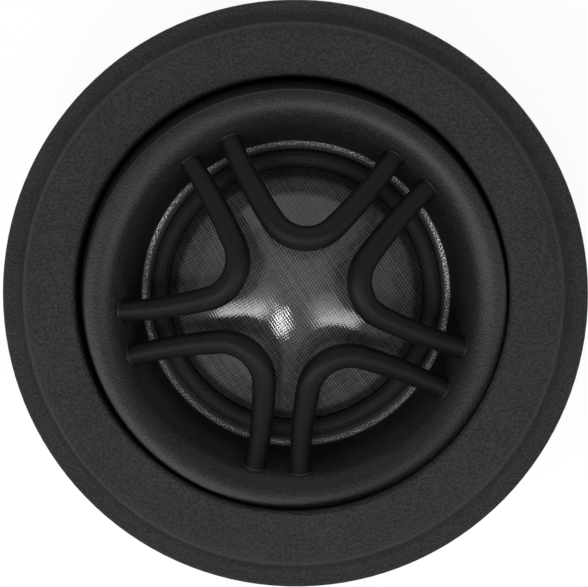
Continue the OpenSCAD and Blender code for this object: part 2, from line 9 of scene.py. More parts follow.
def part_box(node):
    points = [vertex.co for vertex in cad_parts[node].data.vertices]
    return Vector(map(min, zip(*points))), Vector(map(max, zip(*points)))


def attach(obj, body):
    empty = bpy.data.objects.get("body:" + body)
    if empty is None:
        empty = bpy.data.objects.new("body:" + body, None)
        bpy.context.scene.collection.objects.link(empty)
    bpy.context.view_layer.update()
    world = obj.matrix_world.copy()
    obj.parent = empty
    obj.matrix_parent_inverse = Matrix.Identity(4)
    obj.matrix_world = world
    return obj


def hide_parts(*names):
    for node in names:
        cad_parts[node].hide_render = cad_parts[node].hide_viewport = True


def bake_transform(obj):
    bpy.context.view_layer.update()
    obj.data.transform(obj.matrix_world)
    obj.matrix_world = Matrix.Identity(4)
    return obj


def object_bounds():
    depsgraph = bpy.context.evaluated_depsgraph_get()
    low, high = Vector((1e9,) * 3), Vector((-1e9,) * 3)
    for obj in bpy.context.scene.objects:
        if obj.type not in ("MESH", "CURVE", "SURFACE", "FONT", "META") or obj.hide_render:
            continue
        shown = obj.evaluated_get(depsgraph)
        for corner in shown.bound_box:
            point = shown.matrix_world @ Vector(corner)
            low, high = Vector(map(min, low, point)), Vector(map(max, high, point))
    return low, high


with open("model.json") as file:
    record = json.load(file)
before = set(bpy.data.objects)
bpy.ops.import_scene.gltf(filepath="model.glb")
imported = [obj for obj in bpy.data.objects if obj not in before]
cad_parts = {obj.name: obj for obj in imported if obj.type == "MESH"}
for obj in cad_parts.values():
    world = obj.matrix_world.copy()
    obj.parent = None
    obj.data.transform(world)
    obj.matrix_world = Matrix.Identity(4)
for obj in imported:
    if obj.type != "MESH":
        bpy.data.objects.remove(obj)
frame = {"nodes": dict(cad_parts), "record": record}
cad_box = [list(corner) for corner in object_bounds()]
mm = 0.001

# Camera. The photo looks straight at the face, a little from the right,
# from about eight times the ring's width, so the lens is long.
def facing(back):
    # A turn whose Z is back and whose Y is as near to the picture's up as it can be
    right = Vector((0, 1, 0)).cross(back).normalized()
    return Matrix((right, back.cross(right), back)).transposed().to_euler()


look_at = Vector((0, 0, 0.5)) * mm
look_from = Vector((0.084, 0.025, 1.0)).normalized()
camera_distance = 450 * mm
frame_width = 58.1 * mm
camera = bpy.data.objects.new("camera", bpy.data.cameras.new("camera"))
bpy.context.collection.objects.link(camera)
camera.data.sensor_width = 36
camera.data.lens = camera.data.sensor_width * camera_distance / frame_width
camera.data.clip_start = 10 * mm
camera.location = look_at + look_from * camera_distance
camera.rotation_euler = facing(look_from)
bpy.context.scene.camera = camera
bpy.context.scene.view_settings.view_transform = "Standard"


# Front bezel: one moulding in black ABS with a spark-eroded satin skin.
# Its side is part of a ball that sits in the ring's mouth, and its horn
# runs from the crest down to the throat over the dome.
def linear(code):
    values = [int(code[i : i + 2], 16) / 255 for i in (0, 2, 4)]
    return [v / 12.92 if v < 0.04045 else ((v + 0.055) / 1.055) ** 2.4 for v in values] + [1]


def add(tree, kind, inputs=None, **settings):
    made = tree.nodes.new(kind)
    for name, value in settings.items():
        setattr(made, name, value)
    for name, value in (inputs or {}).items():
        if isinstance(value, bpy.types.NodeSocket):
            tree.links.new(value, made.inputs[name])
        else:
            made.inputs[name].default_value = value
    return made


def new_material(name):
    material = bpy.data.materials.new(name)
    material.use_nodes = True
    tree = material.node_tree
    return material, tree, tree.nodes["Principled BSDF"]


def moulded(name, dark, light, roughness, grain, height, gloss=0.35, ior=1.53):
    # Moulded plastic: a fine grit from the eroded tool breaks up the gloss and
    # the colour, which also wanders a little over some millimetres
    cloud_size, cloud_share, gloss_spread = 6, 0.2, 0.08
    grit_low, grit_high, grit_relief = 0.45, 0.75, 0.8
    material, tree, shader = new_material(name)
    place = add(tree, "ShaderNodeTexCoord").outputs["Object"]
    cloud = add(tree, "ShaderNodeTexNoise", {"Vector": place, "Scale": 1 / (cloud_size * mm), "Detail": 3.0})
    grit = add(tree, "ShaderNodeTexNoise", {"Vector": place, "Scale": 1 / (grain * mm), "Detail": 4.0})
    both = add(
        tree,
        "ShaderNodeMath",
        {0: cloud.outputs["Fac"], 1: cloud_share, 2: grit.outputs["Fac"]},
        operation="MULTIPLY_ADD",
    )
    level = add(
        tree,
        "ShaderNodeMapRange",
        {"Value": both.outputs[0], "From Min": grit_low, "From Max": grit_high},
    )
    tint = add(tree, "ShaderNodeMix", {"Factor": level.outputs["Result"]}, data_type="RGBA")
    tint.inputs[6].default_value = linear(dark)
    tint.inputs[7].default_value = linear(light)
    tree.links.new(tint.outputs[2], shader.inputs["Base Color"])
    bump = add(
        tree,
        "ShaderNodeBump",
        {"Height": grit.outputs["Fac"], "Strength": grit_relief, "Distance": height * mm},
    )
    tree.links.new(bump.outputs["Normal"], shader.inputs["Normal"])
    spread = add(
        tree,
        "ShaderNodeMapRange",
        {
            "Value": grit.outputs["Fac"],
            "To Min": roughness - gloss_spread,
            "To Max": roughness + gloss_spread,
        },
    )
    tree.links.new(spread.outputs["Result"], shader.inputs["Roughness"])
    shader.inputs["IOR"].default_value = ior
    shader.inputs["Specular IOR Level"].default_value = gloss
    return material


def arc(centre, radius, start, end, steps):
    turn = [math.radians(start + (end - start) * i / steps) for i in range(steps + 1)]
    return [(centre[0] + radius * math.cos(a), centre[1] + radius * math.sin(a)) for a in turn]


def lathe(name, section, place, turns=256, smooth=40, span=None):
    # Turns a closed section of (radius, height) in mm about the axis. A span of
    # (first step, last step) gives a sector with closed ends
    on_axis = 1e-6
    first, last = span or (0, turns)
    columns = last - first + (1 if span else 0)
    angles = [2 * math.pi * (first + i) / turns for i in range(columns)]
    shape = bmesh.new()
    rings = []
    for radius, height in section:
        out, up = radius * mm, height * mm
        if radius < on_axis:
            rings.append([shape.verts.new((0, 0, up))] * columns)
            continue
        rings.append([shape.verts.new((out * math.cos(a), out * math.sin(a), up)) for a in angles])
    for k, ring in enumerate(rings):
        after = rings[(k + 1) % len(rings)]
        for i in range(last - first):
            j = (i + 1) % columns
            corners = list(dict.fromkeys([ring[i], ring[j], after[j], after[i]]))
            if len(corners) > 2:
                shape.faces.new(corners)
    if span:
        shape.faces.new([ring[0] for ring in rings])
        shape.faces.new([ring[-1] for ring in rings])
    bmesh.ops.recalc_face_normals(shape, faces=shape.faces)
    mesh = bpy.data.meshes.new(name)
    shape.to_mesh(mesh)
    shape.free()
    mesh.shade_smooth()
    mesh.set_sharp_from_angle(angle=math.radians(smooth))
    made = bpy.data.objects.new(name, mesh)
    bpy.context.collection.objects.link(made)
    mesh.transform(place)
    return made


joints = {joint["name"]: joint for joint in frame["record"]["behaviour"]["joints"]}
sound_axis = Vector(joints["dome_stroke"]["axis"]).normalized()
pin_axis = Vector(joints["aim_tilt"]["axis"]).normalized()
lean = math.acos(sound_axis.z)
unit_place = Matrix.Translation(joints["aim_tilt"]["pos_m"]) @ Matrix.Rotation(lean, 4, pin_axis)
to_unit = unit_place.inverted()

throat_r, throat_h, clamp_h = 15.2, 0.98, 0.73
crest_h, crest_round, horn_round = 5.8, 1.0, 3.2
ball_r, skirt_in, skirt_bottom = 21.4, 18.0, -2.1
crest_r = math.sqrt((ball_r - crest_round) ** 2 - (crest_h - crest_round) ** 2)
horn_z = crest_h - horn_round


def wall_end(throat, middle):
    # Where the straight wall from the throat meets the horn's round, in degrees on it
    to_throat = (throat - middle, throat_h - horn_z)
    along = math.degrees(math.atan2(to_throat[1], to_throat[0])) + 360
    return along - math.degrees(math.acos(horn_round / math.hypot(*to_throat)))


# The crest falls away gently to a crisp outer edge
seen_throat, crest_mid, crest_fall, fall_end, edge_bend = 15.3, 19.85, 4.0, 79.0, 0.3
crest_outer = arc((crest_mid, crest_h - crest_fall), crest_fall, 90, fall_end, 12)
edge_mid = (
    crest_outer[-1][0] - edge_bend * math.cos(math.radians(fall_end)),
    crest_outer[-1][1] - edge_bend * math.sin(math.radians(fall_end)),
)
edge_side = math.degrees(math.atan2(edge_mid[1], edge_mid[0]))
crest_edge = arc(edge_mid, edge_bend, fall_end, edge_side, 8)
ball_at = math.degrees(math.atan2(crest_edge[-1][1], crest_edge[-1][0]))
skirt_at = math.degrees(math.asin(skirt_bottom / ball_r))
# The side runs from the edge's reach to the ball over its first steps
edge_reach, side_steps, ease_steps = math.hypot(*crest_edge[-1]), 24, 6
ball_side = []
for i in range(1, side_steps + 1):
    out = edge_reach + (ball_r - edge_reach) * min(1, i / ease_steps)
    a = math.radians(ball_at + (skirt_at - ball_at) * i / side_steps)
    ball_side.append((out * math.cos(a), out * math.sin(a)))
bezel_section = (
    [(seen_throat, clamp_h), (seen_throat, throat_h)]
    + arc((crest_mid, horn_z), horn_round, wall_end(seen_throat, crest_mid), 90, 32)
    + crest_outer[1:]
    + crest_edge[1:]
    + ball_side
    + [(skirt_in, skirt_bottom), (skirt_in, clamp_h)]
)
bezel = lathe("front_bezel_moulding", bezel_section, unit_place)
bezel_abs = moulded(
    "black_abs_satin", "131314", "282829", roughness=0.37, grain=0.22, height=0.045, gloss=0.35
)
bezel.data.materials.append(bezel_abs)
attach(bezel, "unit")
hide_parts("front_bezel")

# Guard loops: five round bars in black ABS, each bent to a V with its tip
# over the dome, and plugged into sockets in the horn wall.
# They are a little thicker at the tip, as the moulding needs there.
loop_count, first_loop = 5, 83.6
bar_d, tip_d, tip_r, tip_h = 2.1, 2.5, 6.5, 8.2
end_r, end_gap, end_angle, bend_angle, plug_depth = 17.0, 4.5, 27.6, 38.0, 1.4
# The bars' ends lie on the horn's straight wall
horn_end = math.radians(wall_end(throat_r, crest_r))
horn_end_r = crest_r + horn_round * math.cos(horn_end)
horn_end_h = horn_z + horn_round * math.sin(horn_end)
end_h = throat_h + (end_r - throat_r) * (horn_end_h - throat_h) / (horn_end_r - throat_r)
loop_half = math.radians(180 / loop_count) - math.asin(end_gap / 2 / end_r)
end_out = end_r * math.cos(loop_half) - tip_r
slant = math.atan2(tip_h - end_h, end_out)
run, half_w = end_out / math.cos(slant), end_r * math.sin(loop_half)
# Two bends, at the tip and along the arm, that reach the wall at end_angle
sb, cb = math.sin(math.radians(bend_angle)), math.cos(math.radians(bend_angle))
se, ce = math.sin(math.radians(end_angle)), math.cos(math.radians(end_angle))
share = (1 - sb) * (ce - cb) - (sb - se) * cb
tip_bend = (run * (ce - cb) - half_w * (sb - se)) / share
arm_bend = ((1 - sb) * half_w - cb * run) / share
arm_centre = (tip_bend * (1 - sb) + arm_bend * sb, tip_bend * cb - arm_bend * cb)
arm = arc(arm_centre, arm_bend, 90 + end_angle, 90 + bend_angle, 20)
plug = (arm[0][0] + plug_depth * ce, arm[0][1] + plug_depth * se)
tip = arc((tip_bend, 0), tip_bend, 90 + bend_angle, 270 - bend_angle, 40)
half = [plug] + arm
loop_path = half + tip[1:-1] + [(x, -y) for x, y in reversed(half)]
path_mesh = bpy.data.meshes.new("loop_path")
path_mesh.from_pydata(
    [(x * mm, y * mm, 0) for x, y in loop_path], [(i, i + 1) for i in range(len(loop_path) - 1)], []
)
thick = path_mesh.attributes.new("bar_radius", "FLOAT", "POINT")
for i, (x, y) in enumerate(loop_path):
    swell = (1 + math.cos(math.pi * min(abs(y) / half_w, 1))) / 2
    thick.data[i].value = (bar_d + (tip_d - bar_d) * swell) / 2 * mm
guard = bpy.data.objects.new("guard_loops", path_mesh)
bpy.context.collection.objects.link(guard)
# Duller and darker than the bezel, so the bars stand out from the dome as shapes
guard_abs = moulded(
    "black_abs_guard", "0c0c0d", "151516", roughness=0.5, grain=0.22, height=0.05, gloss=0.24
)

tree = bpy.data.node_groups.new("guard_bars", "GeometryNodeTree")
tree.interface.new_socket("Geometry", in_out="INPUT", socket_type="NodeSocketGeometry")
loops_in = tree.interface.new_socket("Loops", in_out="INPUT", socket_type="NodeSocketInt")
tilt_in = tree.interface.new_socket("Slant", in_out="INPUT", socket_type="NodeSocketFloat")
reach_in = tree.interface.new_socket("Tip place", in_out="INPUT", socket_type="NodeSocketVector")
start_in = tree.interface.new_socket("First loop", in_out="INPUT", socket_type="NodeSocketFloat")
tree.interface.new_socket("Geometry", in_out="OUTPUT", socket_type="NodeSocketGeometry")
given = add(tree, "NodeGroupInput").outputs
bar_radius = add(tree, "GeometryNodeInputNamedAttribute", {"Name": "bar_radius"}, data_type="FLOAT")
spine = add(tree, "GeometryNodeMeshToCurve", {"Mesh": given["Geometry"]})
round_bar = add(tree, "GeometryNodeCurvePrimitiveCircle", {"Resolution": 28, "Radius": 1.0})
tube = add(
    tree,
    "GeometryNodeCurveToMesh",
    {
        "Curve": spine.outputs["Curve"],
        "Profile Curve": round_bar.outputs["Curve"],
        "Scale": bar_radius.outputs["Attribute"],
        "Fill Caps": True,
    },
)
lean_down = add(tree, "ShaderNodeCombineXYZ", {"Y": given["Slant"]})
tube = add(
    tree,
    "GeometryNodeTransform",
    {
        "Geometry": tube.outputs["Mesh"],
        "Translation": given["Tip place"],
        "Rotation": lean_down.outputs["Vector"],
    },
)
spots = add(tree, "GeometryNodeMeshLine", {"Count": given["Loops"], "Offset": (0, 0, 0)})
step = add(tree, "ShaderNodeMath", {0: 2 * math.pi, 1: given["Loops"]}, operation="DIVIDE")
number = add(tree, "GeometryNodeInputIndex")
turn = add(
    tree,
    "ShaderNodeMath",
    {0: number.outputs["Index"], 1: step.outputs["Value"], 2: given["First loop"]},
    operation="MULTIPLY_ADD",
)
turned = add(tree, "ShaderNodeCombineXYZ", {"Z": turn.outputs["Value"]})
star = add(
    tree,
    "GeometryNodeInstanceOnPoints",
    {
        "Points": spots.outputs["Mesh"],
        "Instance": tube.outputs["Geometry"],
        "Rotation": turned.outputs["Vector"],
    },
)
real = add(tree, "GeometryNodeRealizeInstances", {"Geometry": star.outputs["Instances"]})
coloured = add(tree, "GeometryNodeSetMaterial", {"Geometry": real.outputs["Geometry"], "Material": guard_abs})
add(tree, "NodeGroupOutput", {"Geometry": coloured.outputs["Geometry"]})
bars = guard.modifiers.new("bars", "NODES")
bars.node_group = tree
bars[loops_in.identifier] = loop_count
bars[tilt_in.identifier] = slant
bars[reach_in.identifier] = (tip_r * mm, 0, tip_h * mm)
bars[start_in.identifier] = math.radians(first_loop)
plain = bpy.data.meshes.new_from_object(guard.evaluated_get(bpy.context.evaluated_depsgraph_get()))
guard.modifiers.clear()
guard.data = plain
plain.transform(unit_place)
plain.shade_smooth()
plain.set_sharp_from_angle(angle=math.radians(50))
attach(guard, "unit")
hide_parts(*[f"guard_loop_{i + 1}" for i in range(loop_count)])

# Socket rims: the thin raised edge of each socket in the horn wall, moulded
# with the bezel, where a guard bar's end goes in.
rim_d, rim_t = 2.5, 0.2
rim_r = 16.9
wall_rise = math.atan2(bezel_section[2][1] - throat_h, bezel_section[2][0] - seen_throat)
rim_h = throat_h + (rim_r - seen_throat) * math.tan(wall_rise)
rims = bpy.data.objects.new("socket_rims", bpy.data.meshes.new("socket_rims"))
bpy.context.collection.objects.link(rims)
tree = bpy.data.node_groups.new("socket_rims", "GeometryNodeTree")
count_in = tree.interface.new_socket("Rims", in_out="INPUT", socket_type="NodeSocketInt")
width_in = tree.interface.new_socket("Rim radius", in_out="INPUT", socket_type="NodeSocketFloat")
bead_in = tree.interface.new_socket("Bead radius", in_out="INPUT", socket_type="NodeSocketFloat")
spot_in = tree.interface.new_socket("Place", in_out="INPUT", socket_type="NodeSocketVector")
slope_in = tree.interface.new_socket("Wall slope", in_out="INPUT", socket_type="NodeSocketFloat")
first_in = tree.interface.new_socket("First loop", in_out="INPUT", socket_type="NodeSocketFloat")
half_in = tree.interface.new_socket("Half loop", in_out="INPUT", socket_type="NodeSocketFloat")
tree.interface.new_socket("Geometry", in_out="OUTPUT", socket_type="NodeSocketGeometry")
given = add(tree, "NodeGroupInput").outputs
edge = add(tree, "GeometryNodeCurvePrimitiveCircle", {"Resolution": 40, "Radius": given["Rim radius"]})
bead = add(tree, "GeometryNodeCurvePrimitiveCircle", {"Resolution": 12, "Radius": given["Bead radius"]})
rim = add(
    tree,
    "GeometryNodeCurveToMesh",
    {"Curve": edge.outputs["Curve"], "Profile Curve": bead.outputs["Curve"]},
)
lean_back = add(tree, "ShaderNodeMath", {0: given["Wall slope"], 1: -1.0}, operation="MULTIPLY")
lean_back = add(tree, "ShaderNodeCombineXYZ", {"Y": lean_back.outputs["Value"]})
rim = add(
    tree,
    "GeometryNodeTransform",
    {
        "Geometry": rim.outputs["Mesh"],
        "Translation": given["Place"],
        "Rotation": lean_back.outputs["Vector"],
    },
)
spots = add(tree, "GeometryNodeMeshLine", {"Count": given["Rims"], "Offset": (0, 0, 0)})
number = add(tree, "GeometryNodeInputIndex").outputs["Index"]
loops = add(tree, "ShaderNodeMath", {0: given["Rims"], 1: 0.5}, operation="MULTIPLY")
step = add(tree, "ShaderNodeMath", {0: 2 * math.pi, 1: loops.outputs["Value"]}, operation="DIVIDE")
loop_at = add(tree, "ShaderNodeMath", {0: number, 1: 0.5}, operation="MULTIPLY")
loop_at = add(tree, "ShaderNodeMath", {0: loop_at.outputs["Value"]}, operation="FLOOR")
loop_at = add(
    tree,
    "ShaderNodeMath",
    {0: loop_at.outputs["Value"], 1: step.outputs["Value"], 2: given["First loop"]},
    operation="MULTIPLY_ADD",
)
which = add(tree, "ShaderNodeMath", {0: number, 1: 2.0}, operation="MODULO")
which = add(tree, "ShaderNodeMath", {0: which.outputs["Value"], 1: 2.0, 2: -1.0}, operation="MULTIPLY_ADD")
turn = add(
    tree,
    "ShaderNodeMath",
    {0: which.outputs["Value"], 1: given["Half loop"], 2: loop_at.outputs["Value"]},
    operation="MULTIPLY_ADD",
)
turned = add(tree, "ShaderNodeCombineXYZ", {"Z": turn.outputs["Value"]})
placed = add(
    tree,
    "GeometryNodeInstanceOnPoints",
    {
        "Points": spots.outputs["Mesh"],
        "Instance": rim.outputs["Geometry"],
        "Rotation": turned.outputs["Vector"],
    },
)
real = add(tree, "GeometryNodeRealizeInstances", {"Geometry": placed.outputs["Instances"]})
coloured = add(tree, "GeometryNodeSetMaterial", {"Geometry": real.outputs["Geometry"], "Material": bezel_abs})
add(tree, "NodeGroupOutput", {"Geometry": coloured.outputs["Geometry"]})
beads = rims.modifiers.new("rims", "NODES")
beads.node_group = tree
beads[count_in.identifier] = 2 * loop_count
beads[width_in.identifier] = rim_d / 2 * mm
beads[bead_in.identifier] = rim_t / 2 * mm
beads[spot_in.identifier] = (rim_r * mm, 0, rim_h * mm)
beads[slope_in.identifier] = wall_rise
beads[first_in.identifier] = math.radians(first_loop)
beads[half_in.identifier] = loop_half
plain = bpy.data.meshes.new_from_object(rims.evaluated_get(bpy.context.evaluated_depsgraph_get()))
rims.modifiers.clear()
rims.data = plain
plain.transform(unit_place)
plain.shade_smooth()
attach(rims, "unit")


# Dome: a cap of fine woven cloth, coated and pressed to shape, glued to the
# voice coil's former. The coating is glossy, and the threads still show.
def cloth(name, dark, light, pitch, turn, roughness, height, gloss, shade_from_r, painted_ring_gap=None):
    # Open plain weave read from a flat map in mm: round threads both ways, dark between,
    # one set a little stronger, so that the cloth looks woven and coated, not printed
    thread_round, thread_low, thread_high, thread_relief = 2.4, 0.72, 1.2, 0.5
    patch_scale, patch_low, patch_high = 1.6, 0.55, 1.45
    rim_shade_soft, rim_shade_dark, painted_ring_crisp, painted_ring_bright = 0.5, 0.28, 12.0, 1.2
    material, tree, shader = new_material(name)
    flat = add(tree, "ShaderNodeUVMap", uv_map="cloth").outputs["UV"]
    laid = add(tree, "ShaderNodeMapping", {"Vector": flat, "Rotation": (0, 0, math.radians(turn))})
    split = add(tree, "ShaderNodeSeparateXYZ", {"Vector": laid.outputs["Vector"]})
    threads = []
    for axis, part in (("X", 1.0), ("Y", 0.75)):
        phase = add(
            tree, "ShaderNodeMath", {0: split.outputs[axis], 1: math.pi / pitch}, operation="MULTIPLY"
        )
        wave = add(tree, "ShaderNodeMath", {0: phase.outputs[0]}, operation="SINE")
        wave = add(tree, "ShaderNodeMath", {0: wave.outputs[0]}, operation="ABSOLUTE")
        wave = add(tree, "ShaderNodeMath", {0: wave.outputs[0], 1: thread_round}, operation="POWER")
        count = add(tree, "ShaderNodeMath", {0: split.outputs[axis], 1: pitch}, operation="DIVIDE")
        count = add(tree, "ShaderNodeMath", {0: count.outputs[0]}, operation="FLOOR")
        chance = add(tree, "ShaderNodeTexWhiteNoise", {"W": count.outputs[0]}, noise_dimensions="1D")
        own = add(
            tree,
            "ShaderNodeMapRange",
            {"Value": chance.outputs["Value"], "To Min": thread_low * part, "To Max": thread_high * part},
        )
        threads.append(
            add(tree, "ShaderNodeMath", {0: wave.outputs[0], 1: own.outputs["Result"]}, operation="MULTIPLY")
        )
    high = add(
        tree, "ShaderNodeMath", {0: threads[0].outputs[0], 1: threads[1].outputs[0]}, operation="MAXIMUM"
    )
    # Threads differ in thickness and coating over a few of them
    uneven = add(
        tree,
        "ShaderNodeTexNoise",
        {"Vector": laid.outputs["Vector"], "Scale": patch_scale, "Detail": 4.0},
    )
    spread = add(
        tree,
        "ShaderNodeMapRange",
        {"Value": uneven.outputs["Fac"], "To Min": patch_low, "To Max": patch_high},
    )
    level = add(
        tree, "ShaderNodeMath", {0: high.outputs[0], 1: spread.outputs["Result"]}, operation="MULTIPLY"
    )
    # Outside this radius the cloth is darkened: painted shade where the dome's rim turns down into the valley
    # by the roll, and where the flange lies under the bezel
    out = add(tree, "ShaderNodeVectorMath", {0: flat}, operation="LENGTH")
    painted_rim_shade = add(
        tree,
        "ShaderNodeMapRange",
        {
            "Value": out.outputs["Value"],
            "From Min": shade_from_r,
            "From Max": shade_from_r + rim_shade_soft,
            "To Min": 1.0,
            "To Max": rim_shade_dark,
        },
    )
    level = add(tree, "ShaderNodeMath", {0: level.outputs[0], 1: painted_rim_shade.outputs["Result"]}, operation="MULTIPLY")
    if painted_ring_gap:
        # Fine pressed rings, this far apart in mm: painted highlights, light lines in the colour where their
        # ridges would catch the light
        phase = add(
            tree, "ShaderNodeMath", {0: out.outputs["Value"], 1: math.pi / painted_ring_gap}, operation="MULTIPLY"
        )
        ring = add(tree, "ShaderNodeMath", {0: phase.outputs[0]}, operation="SINE")
        ring = add(tree, "ShaderNodeMath", {0: ring.outputs[0], 1: painted_ring_crisp}, operation="POWER")
        level = add(
            tree,
            "ShaderNodeMath",
            {0: ring.outputs[0], 1: painted_ring_bright, 2: level.outputs[0]},
            operation="MULTIPLY_ADD",
        )
    tint = add(tree, "ShaderNodeMix", {"Factor": level.outputs[0]}, data_type="RGBA")
    tint.inputs[6].default_value = linear(dark)
    tint.inputs[7].default_value = linear(light)
    tree.links.new(tint.outputs[2], shader.inputs["Base Color"])
    bump = add(
        tree,
        "ShaderNodeBump",
        {"Height": high.outputs[0], "Strength": thread_relief, "Distance": height * mm},
    )
    tree.links.new(bump.outputs["Normal"], shader.inputs["Normal"])
    shader.inputs["Roughness"].default_value = roughness
    shader.inputs["Specular IOR Level"].default_value = gloss
    return material


def flat_map(made):
    # The cloth's flat map: its plan in the unit's own frame, in mm
    layer = made.data.uv_layers.new(name="cloth")
    for loop in made.data.loops:
        spot = to_unit @ made.data.vertices[loop.vertex_index].co
        layer.data[loop.index].uv = (spot.x / mm, spot.y / mm)


dome_r, dome_rise, edge_h, fabric_t = 12.6, 5.8, 0.1, 0.3
dome_ball = (dome_r**2 + dome_rise**2) / (2 * dome_rise)
dome_mid = edge_h + dome_rise - dome_ball
outer_edge = math.degrees(math.asin((edge_h - dome_mid) / dome_ball))
inner_edge = math.degrees(math.asin((edge_h - dome_mid) / (dome_ball - fabric_t)))
outside = arc((0, dome_mid), dome_ball, outer_edge, 90, 48)
inside = arc((0, dome_mid), dome_ball - fabric_t, 90, inner_edge, 48)
outside[-1], inside[0] = (0, outside[-1][1]), (0, inside[0][1])
dome = lathe("dome_cloth_cap", outside + inside, unit_place, turns=192)
flat_map(dome)
# Threads are about 0.27 mm apart in the photo, at this angle to its width
weave_turn = -33
dome_cloth = cloth(
    "coated_woven_dome",
    "040405",
    "737374",
    pitch=0.265,
    turn=weave_turn,
    roughness=0.09,
    height=0.01,
    gloss=0.8,
    # Past this radius the cloth is darkened, as painted shade at the dome's rim
    shade_from_r=11.4,
)
dome.data.materials.append(dome_cloth)
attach(dome, "diaphragm")
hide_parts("dome")

# Surround: the same cloth pressed to a half roll, which lets the dome move,
# then a sloping band and a flange that the bezel clamps.
# The band is left with a bright sizing that sparkles where the threads turn.
roll_out, band_top, flange_r, seat_h, cuff_h = 14.4, 15.45, 17.2, 0.43, 0.5
cuff_gap = 0.05
cuff_in = dome_r + cuff_gap
roll_r = (roll_out - cuff_in) / 2
roll_mid = (cuff_in + roll_r, edge_h)
surround_section = (
    [(cuff_in, edge_h - cuff_h)]
    + arc(roll_mid, roll_r, 180, 0, 32)
    + [(band_top, clamp_h), (flange_r, clamp_h), (flange_r, seat_h), (band_top, seat_h)]
    + [(roll_out, edge_h - fabric_t), (roll_out - fabric_t, edge_h - fabric_t)]
    + arc(roll_mid, roll_r - fabric_t, 0, 180, 24)
    + [(cuff_in + fabric_t, edge_h - cuff_h)]
)
weave_pitch = 0.27
roll_cloth = cloth(
    "coated_woven_roll",
    "0e0e0f",
    "272728",
    pitch=weave_pitch,
    turn=weave_turn,
    roughness=0.65,
    height=0.012,
    gloss=0.2,
    # Past this radius the cloth is darkened, as painted shade on the flange under the bezel
    shade_from_r=15.0,
    # Light rings this far apart are painted highlights
    painted_ring_gap=0.42,
)
band_sizing, tree, shader = new_material("bright_sized_band")
flat = add(tree, "ShaderNodeUVMap", uv_map="cloth").outputs["UV"]
out = add(tree, "ShaderNodeVectorMath", {0: flat}, operation="LENGTH")
# Threads show dimly over the band. Its outer edge is a line of bright sparkles
line_r, line_w, line_soft, band_grey = 15.02, 0.1, 0.18, 0.08
fleck_size, fleck_low, fleck_high, fleck_relief, fleck_height = 0.15, 0.48, 0.66, 0.8, 0.03
laid = add(tree, "ShaderNodeMapping", {"Vector": flat, "Rotation": (0, 0, math.radians(weave_turn))})
split = add(tree, "ShaderNodeSeparateXYZ", {"Vector": laid.outputs["Vector"]})
thread = add(tree, "ShaderNodeMath", {0: split.outputs["X"], 1: math.pi / weave_pitch}, operation="MULTIPLY")
thread = add(tree, "ShaderNodeMath", {0: thread.outputs[0]}, operation="SINE")
thread = add(tree, "ShaderNodeMath", {0: thread.outputs[0]}, operation="ABSOLUTE")
away = add(tree, "ShaderNodeMath", {0: out.outputs["Value"], 1: line_r}, operation="SUBTRACT")
away = add(tree, "ShaderNodeMath", {0: away.outputs[0]}, operation="ABSOLUTE")
on_line = add(
    tree,
    "ShaderNodeMapRange",
    {
        "Value": away.outputs[0],
        "From Min": line_w,
        "From Max": line_w + line_soft,
        "To Min": 1.0,
        "To Max": 0.0,
    },
)
fleck = add(tree, "ShaderNodeTexNoise", {"Vector": flat, "Scale": 1 / fleck_size, "Detail": 1.0})
bright = add(
    tree,
    "ShaderNodeMapRange",
    {"Value": fleck.outputs["Fac"], "From Min": fleck_low, "From Max": fleck_high},
)
line = add(
    tree, "ShaderNodeMath", {0: bright.outputs["Result"], 1: on_line.outputs["Result"]}, operation="MULTIPLY"
)
shine = add(
    tree,
    "ShaderNodeMath",
    {0: thread.outputs[0], 1: band_grey, 2: line.outputs[0]},
    operation="MULTIPLY_ADD",
    use_clamp=True,
)
tint = add(tree, "ShaderNodeMix", {"Factor": shine.outputs[0]}, data_type="RGBA")
tint.inputs[6].default_value = linear("1a1a1b")
tint.inputs[7].default_value = linear("d0d0d0")
tree.links.new(tint.outputs[2], shader.inputs["Base Color"])
bump = add(
    tree,
    "ShaderNodeBump",
    {"Height": fleck.outputs["Fac"], "Strength": fleck_relief, "Distance": fleck_height * mm},
)
tree.links.new(bump.outputs["Normal"], shader.inputs["Normal"])
tree.links.new(shine.outputs[0], shader.inputs["Metallic"])
shader.inputs["Roughness"].default_value = 0.28
# The roll bends as the dome moves. Here it is made in sectors, each set in the unit's place
sector_count, surround_turns, still_r, moving_r = 16, 192, 14.2, 12.9
steps, near = surround_turns // sector_count, 0.02
for n in range(sector_count):
    sector = lathe(
        f"surround_cloth_{n + 1}",
        surround_section,
        unit_place,
        turns=surround_turns,
        span=(n * steps, (n + 1) * steps),
    )
    flat_map(sector)
    sector.data.materials.append(roll_cloth)
    sector.data.materials.append(band_sizing)
    for face in sector.data.polygons:
        spots = [to_unit @ sector.data.vertices[i].co for i in face.vertices]
        radii = [math.hypot(v.x, v.y) / mm for v in spots]
        on_band = min(radii) > roll_out - near and max(radii) < band_top + near
        if on_band and max(v.z for v in spots) > seat_h * mm:
            face.material_index = 1
    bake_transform(sector)
    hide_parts("surround")


# Pieces that keep their CAD shape: the ring, cap and shell are moulded ABS,
# the swivel ring is nylon, and the small parts are steel, brass and rubber.
def plated(name, colour, roughness, grain):
    # Drawn or rolled metal, with a fine unevenness in its gloss
    gloss_spread = 0.1
    material, tree, shader = new_material(name)
    place = add(tree, "ShaderNodeTexCoord").outputs["Object"]
    cloud = add(tree, "ShaderNodeTexNoise", {"Vector": place, "Scale": 1 / (grain * mm), "Detail": 4.0})
    spread = add(
        tree,
        "ShaderNodeMapRange",
        {
            "Value": cloud.outputs["Fac"],
            "To Min": roughness - gloss_spread,
            "To Max": roughness + gloss_spread,
        },
    )
    tree.links.new(spread.outputs["Result"], shader.inputs["Roughness"])
    shader.inputs["Base Color"].default_value = linear(colour)
    shader.inputs["Metallic"].default_value = 1.0
    return material


